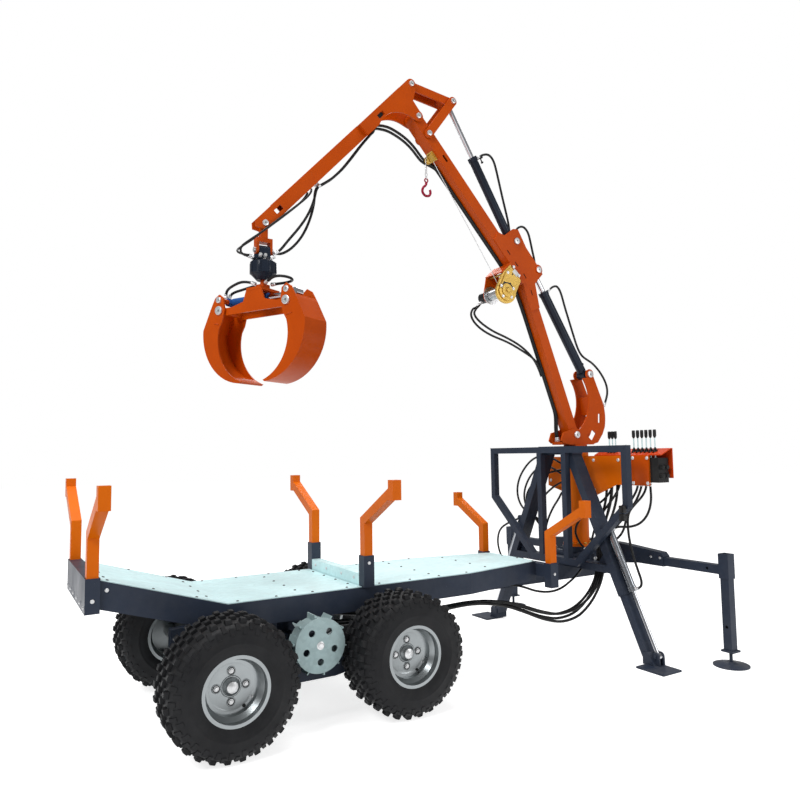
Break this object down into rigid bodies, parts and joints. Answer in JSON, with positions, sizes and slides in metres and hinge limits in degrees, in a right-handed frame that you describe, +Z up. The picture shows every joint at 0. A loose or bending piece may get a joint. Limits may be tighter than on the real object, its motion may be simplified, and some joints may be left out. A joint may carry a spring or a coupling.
{
  "type": "forestry trailer with crane",
  "caption": "Two-rail timber trailer on bogie wheels with stakes, headboard, outrigger legs and a slewing grapple crane.",
  "frame": {"origin": "on the ground, half way along the trailer and on its centre line", "axes": "+X forward towards the drawbar end, +Y left, +Z up"},
  "size_m": [3.334, 2.02, 3.392],
  "materials": {
    "frame_paint": "slate grey semi-gloss paint",
    "crane_paint": "orange gloss paint",
    "zinc": "galvanised steel",
    "rim_silver": "silver paint",
    "tyre": "matt black rubber",
    "ram_paint": "dark gloss paint",
    "chrome": "polished rod",
    "valve_black": "black",
    "blue_paint": "blue gloss paint",
    "gold_zinc": "yellow zinc plating",
    "hose": "black hose",
    "steel": "bare steel"
  },
  "bodies": {
    "chassis": {"main_spine": "frame_paint", "side_rails": "frame_paint", "deck_sheets": "zinc", "rear_bunk": "frame_paint", "middle_bunk": "zinc", "front_bunk": "frame_paint", "stakes": "crane_paint", "headboard": "frame_paint", "bogie_axle": "frame_paint", "bogie_beams": "frame_paint", "outrigger_frame": "frame_paint", "outrigger_rams": "ram_paint", "front_crossbeam": "frame_paint", "slew_housing": "frame_paint", "crane_mast": "crane_paint", "console_panels": "frame_paint", "console_cover": "frame_paint", "valve_blocks": "valve_black", "control_levers": "zinc", "frame_hoses": "hose"},
    "rear_right_wheel": {"rear_right_tyre": "tyre", "rear_right_rim": "rim_silver"},
    "rear_left_wheel": {"rear_left_tyre": "tyre", "rear_left_rim": "rim_silver"},
    "front_right_wheel": {"front_right_tyre": "tyre", "front_right_rim": "rim_silver"},
    "front_left_wheel": {"front_left_tyre": "tyre", "front_left_rim": "rim_silver"},
    "right_roller": {"right_drive_roller": "zinc"},
    "left_roller": {"left_drive_roller": "zinc"},
    "right_outrigger": {"right_outrigger_leg": "frame_paint", "right_outrigger_rod": "chrome"},
    "left_outrigger": {"left_outrigger_leg": "frame_paint", "left_outrigger_rod": "chrome"},
    "right_support_arm": {"right_support_arm": "frame_paint"},
    "right_support_leg": {"right_support_leg": "frame_paint"},
    "left_support_arm": {"left_support_arm": "frame_paint"},
    "left_support_leg": {"left_support_leg": "frame_paint"},
    "crane_head": {"crane_head": "crane_paint"},
    "lift_barrel": {"lift_ram_barrel": "ram_paint"},
    "lift_rod": {"lift_ram_rod": "chrome"},
    "main_boom": {"main_boom": "crane_paint", "winch_frame": "gold_zinc", "winch_motor": "valve_black", "rope_sheave": "gold_zinc", "boom_hoses": "hose"},
    "winch_drum": {"winch_drum": "steel"},
    "jib_barrel": {"jib_ram_barrel": "ram_paint"},
    "jib_rod": {"jib_ram_rod": "chrome"},
    "rocker_link": {"rocker_link": "crane_paint"},
    "tie_link": {"tie_link": "crane_paint"},
    "jib": {"jib": "crane_paint", "jib_hoses": "hose"},
    "hanger_link": {"hanger_link": "crane_paint"},
    "rotator": {"rotator": "ram_paint"},
    "grapple_frame": {"grapple_frame": "crane_paint"},
    "right_claw": {"right_claw": "crane_paint"},
    "left_claw": {"left_claw": "crane_paint"},
    "grapple_barrel": {"grapple_ram_barrel": "blue_paint"},
    "grapple_rod": {"grapple_ram_rod": "chrome"}
  },
  "joints": [
    {"name": "rear_right_wheel_spin", "type": "hinge", "parent": "chassis", "child": "rear_right_wheel", "pos_m": [-1.148, -0.508, 0.278], "axis": [0, 1, 0], "continuous": true},
    {"name": "rear_left_wheel_spin", "type": "hinge", "parent": "chassis", "child": "rear_left_wheel", "pos_m": [-1.148, 0.508, 0.278], "axis": [0, 1, 0], "continuous": true},
    {"name": "front_right_wheel_spin", "type": "hinge", "parent": "chassis", "child": "front_right_wheel", "pos_m": [-0.324, -0.508, 0.278], "axis": [0, 1, 0], "continuous": true},
    {"name": "front_left_wheel_spin", "type": "hinge", "parent": "chassis", "child": "front_left_wheel", "pos_m": [-0.324, 0.508, 0.278], "axis": [0, 1, 0], "continuous": true},
    {"name": "right_roller_spin", "type": "hinge", "parent": "chassis", "child": "right_roller", "pos_m": [-0.736, -0.45, 0.362], "axis": [0, 1, 0], "continuous": true},
    {"name": "left_roller_spin", "type": "hinge", "parent": "chassis", "child": "left_roller", "pos_m": [-0.736, 0.45, 0.362], "axis": [0, 1, 0], "continuous": true},
    {"name": "right_outrigger_lift", "type": "slide", "parent": "chassis", "child": "right_outrigger", "axis": [0, 0.4274, 0.9041], "range_m": [0, 0.3]},
    {"name": "left_outrigger_lift", "type": "slide", "parent": "chassis", "child": "left_outrigger", "axis": [0, -0.4274, 0.9041], "range_m": [0, 0.3]},
    {"name": "right_arm_slide", "type": "slide", "parent": "chassis", "child": "right_support_arm", "axis": [0, -1, 0], "range_m": [-0.33, 0]},
    {"name": "right_leg_lift", "type": "slide", "parent": "right_support_arm", "child": "right_support_leg", "axis": [0, 0, 1], "range_m": [0, 0.38]},
    {"name": "left_arm_slide", "type": "slide", "parent": "chassis", "child": "left_support_arm", "axis": [0, 1, 0], "range_m": [-0.33, 0]},
    {"name": "left_leg_lift", "type": "slide", "parent": "left_support_arm", "child": "left_support_leg", "axis": [0, 0, 1], "range_m": [0, 0.38]},
    {"name": "crane_slew", "type": "hinge", "parent": "chassis", "child": "crane_head", "pos_m": [1.349, 0, 1.2], "axis": [0, 0, 1], "range_deg": [-170, 170]},
    {"name": "boom_lift", "type": "hinge", "parent": "crane_head", "child": "main_boom", "pos_m": [1.304, 0, 1.305], "axis": [0, 1, 0], "range_deg": [-22, 6]},
    {"name": "lift_ram_swing", "type": "hinge", "parent": "crane_head", "child": "lift_barrel", "pos_m": [1.446, 0, 1.712], "axis": [0, 1, 0], "range_deg": [-30, 10]},
    {"name": "lift_ram_slide", "type": "slide", "parent": "lift_barrel", "child": "lift_rod", "axis": [-0.5429, 0, 0.8398], "range_m": [-0.06, 0.17]},
    {"name": "jib_fold", "type": "hinge", "parent": "main_boom", "child": "jib", "pos_m": [0.105, 0, 3.178], "axis": [0, 1, 0], "range_deg": [-45, 70]},
    {"name": "jib_ram_swing", "type": "hinge", "parent": "main_boom", "child": "jib_barrel", "pos_m": [0.84, 0, 2.537], "axis": [0, 1, 0], "range_deg": [-6, 8]},
    {"name": "jib_ram_slide", "type": "slide", "parent": "jib_barrel", "child": "jib_rod", "axis": [-0.517, 0, 0.856], "range_m": [-0.27, 0.18]},
    {"name": "rocker_swing", "type": "hinge", "parent": "main_boom", "child": "rocker_link", "pos_m": [0.18, 0, 3.09], "axis": [0, 1, 0], "range_deg": [-36, 56]},
    {"name": "tie_swing", "type": "hinge", "parent": "jib", "child": "tie_link", "pos_m": [0.058, 0, 3.362], "axis": [0, 1, 0], "range_deg": [-34, 24]},
    {"name": "winch_spin", "type": "hinge", "parent": "main_boom", "child": "winch_drum", "pos_m": [0.733, 0.021, 2.2], "axis": [0, 1, 0], "continuous": true},
    {"name": "hanger_swing", "type": "hinge", "parent": "jib", "child": "hanger_link", "pos_m": [-0.825, 0, 2.383], "axis": [0, -1, 0], "range_deg": [-78, 78]},
    {"name": "rotator_sway", "type": "hinge", "parent": "hanger_link", "child": "rotator", "pos_m": [-0.825, 0, 2.245], "axis": [1, 0, 0], "range_deg": [-50, 50]},
    {"name": "grapple_turn", "type": "hinge", "parent": "rotator", "child": "grapple_frame", "pos_m": [-0.825, 0, 2.1], "axis": [0, 0, 1], "continuous": true},
    {"name": "left_claw_open", "type": "hinge", "parent": "grapple_frame", "child": "left_claw", "pos_m": [-0.93016, 0.19778, 1.945], "axis": [0.8829, 0.4695, 0], "range_deg": [-10, 55]},
    {"name": "right_claw_open", "type": "hinge", "parent": "grapple_frame", "child": "right_claw", "pos_m": [-0.71984, -0.19778, 1.945], "axis": [-0.8829, -0.4695, 0], "range_deg": [-10, 55]},
    {"name": "grapple_ram_swing", "type": "hinge", "parent": "left_claw", "child": "grapple_barrel", "pos_m": [-0.93016, 0.19778, 2], "axis": [0.8829, 0.4695, 0], "range_deg": [-55, 10]},
    {"name": "grapple_ram_slide", "type": "slide", "parent": "grapple_barrel", "child": "grapple_rod", "axis": [0.4695, -0.8829, 0], "range_m": [-0.1, 0.03]}
  ],
  "couplings": [
    {"joint": "lift_ram_swing", "follows": "boom_lift", "ratio": 1.2425},
    {"joint": "lift_ram_slide", "follows": "boom_lift", "m_per_rad": -0.3755},
    {"joint": "jib_ram_swing", "follows": "jib_fold", "ratio": 0.03},
    {"joint": "jib_ram_slide", "follows": "jib_fold", "m_per_rad": -0.2127},
    {"joint": "rocker_swing", "follows": "jib_fold", "ratio": 0.7423},
    {"joint": "tie_swing", "follows": "jib_fold", "ratio": -0.4481},
    {"joint": "right_claw_open", "follows": "left_claw_open", "ratio": 1},
    {"joint": "grapple_ram_swing", "follows": "left_claw_open", "ratio": -1},
    {"joint": "grapple_ram_slide", "follows": "left_claw_open", "m_per_rad": -0.0961}
  ]
}
